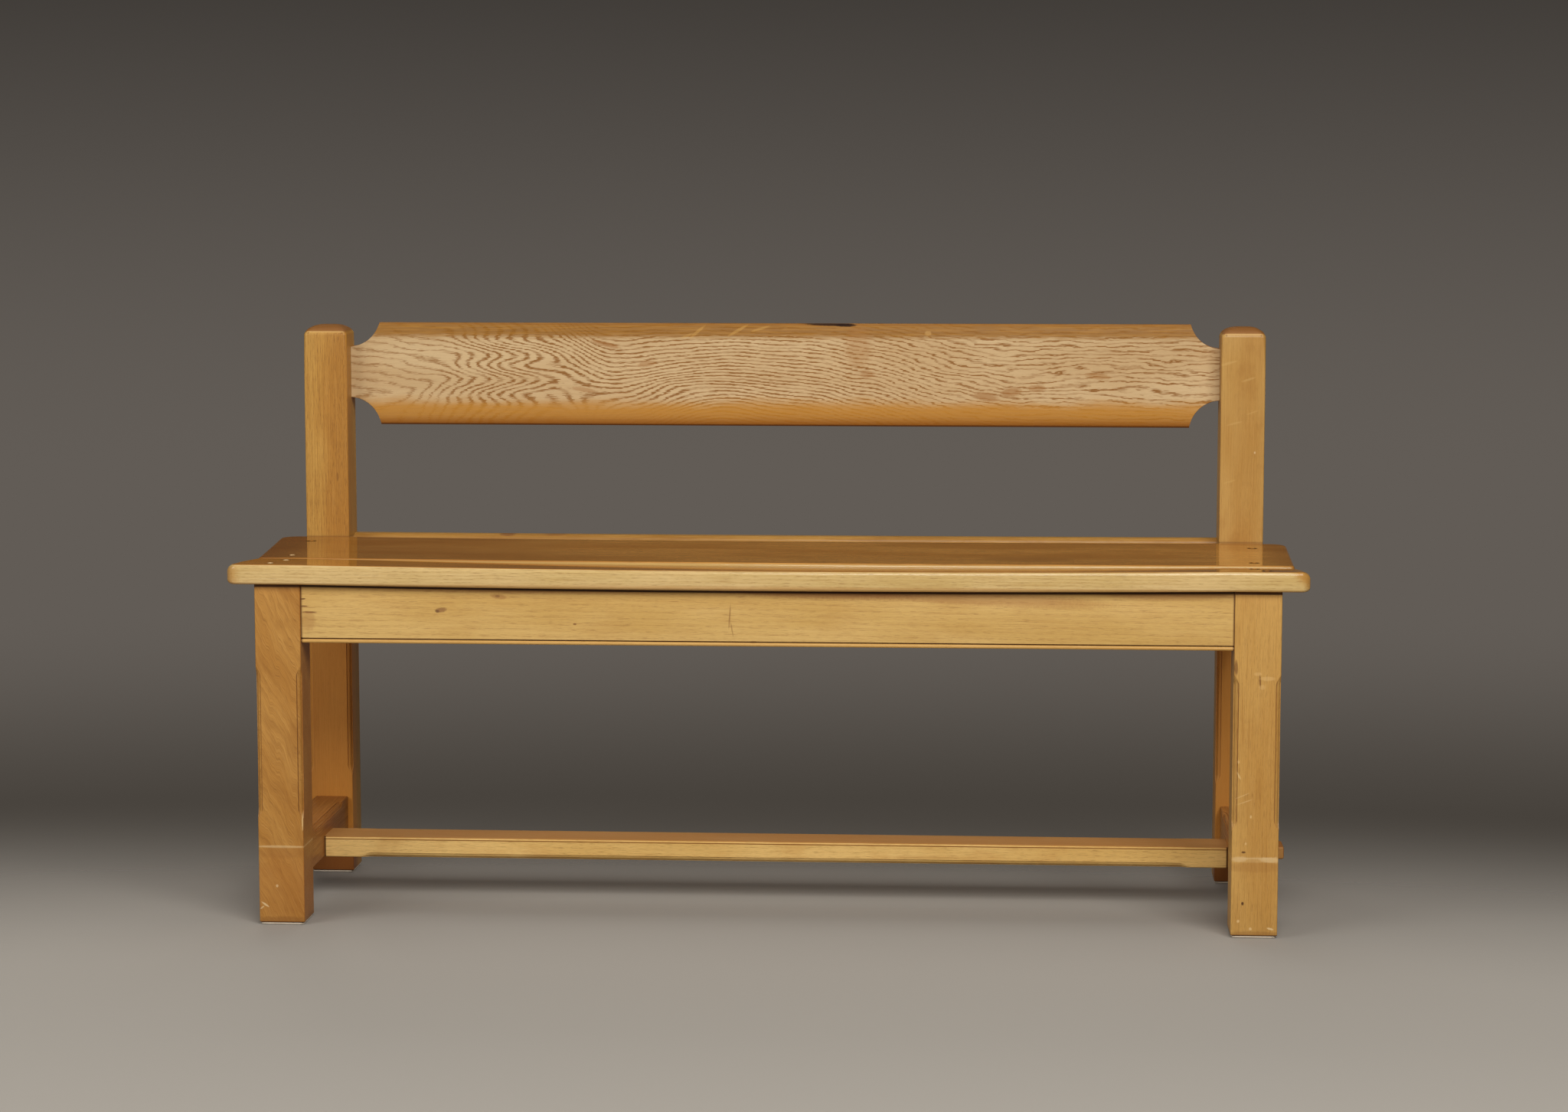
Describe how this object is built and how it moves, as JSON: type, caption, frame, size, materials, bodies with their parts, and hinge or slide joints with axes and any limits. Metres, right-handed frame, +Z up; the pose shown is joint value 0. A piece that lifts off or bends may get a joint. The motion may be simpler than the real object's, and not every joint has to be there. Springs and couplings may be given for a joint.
{
  "type": "bench",
  "caption": "Joined oak bench with a waisted plank seat, a scalloped back rail, moulded legs and a low H stretcher with through tenons.",
  "frame": {"origin": "middle of the bench's outline on the floor, under the felt pads", "axes": "+X along the bench to the right of someone facing its front, +Y from the front to the back, +Z up"},
  "size_m": [1.396, 0.41, 0.773],
  "materials": {
    "oak_leg": "amber satin varnish over straight grained oak",
    "oak_apron": "satin varnish over golden oak",
    "oak_inner": "thin varnish on hidden oak rails",
    "oak_rail": "satin varnish over oak",
    "oak_back_rail": "satin varnish over pale flat sawn oak with bold grain",
    "oak_seat_front": "satin varnish, worn pale along the front edge",
    "oak_seat_main": "glossy brown varnish",
    "oak_peg": "dark end grain under varnish",
    "felt": "pressed beige felt"
  },
  "bodies": {
    "root": {"front_leg_left": "oak_leg", "front_leg_right": "oak_leg", "rear_post_left": "oak_leg", "rear_post_right": "oak_leg", "front_apron": "oak_apron", "end_apron_left": "oak_inner", "end_apron_right": "oak_inner", "rear_rail": "oak_rail", "back_rail": "oak_back_rail", "side_stretcher_left": "oak_rail", "side_stretcher_right": "oak_rail", "centre_stretcher": "oak_rail", "seat_bearer_left": "oak_inner", "seat_bearer_right": "oak_inner", "seat_front_board": "oak_seat_front", "seat_main_board": "oak_seat_main", "seat_peg_left_1": "oak_peg", "seat_peg_left_2": "oak_peg", "seat_peg_left_3": "oak_peg", "seat_peg_left_4": "oak_peg", "seat_peg_right_1": "oak_peg", "seat_peg_right_2": "oak_peg", "seat_peg_right_3": "oak_peg", "seat_peg_right_4": "oak_peg", "felt_pad_front_left": "felt", "felt_pad_front_right": "felt", "felt_pad_rear_left": "felt", "felt_pad_rear_right": "felt"}
  },
  "joints": []
}
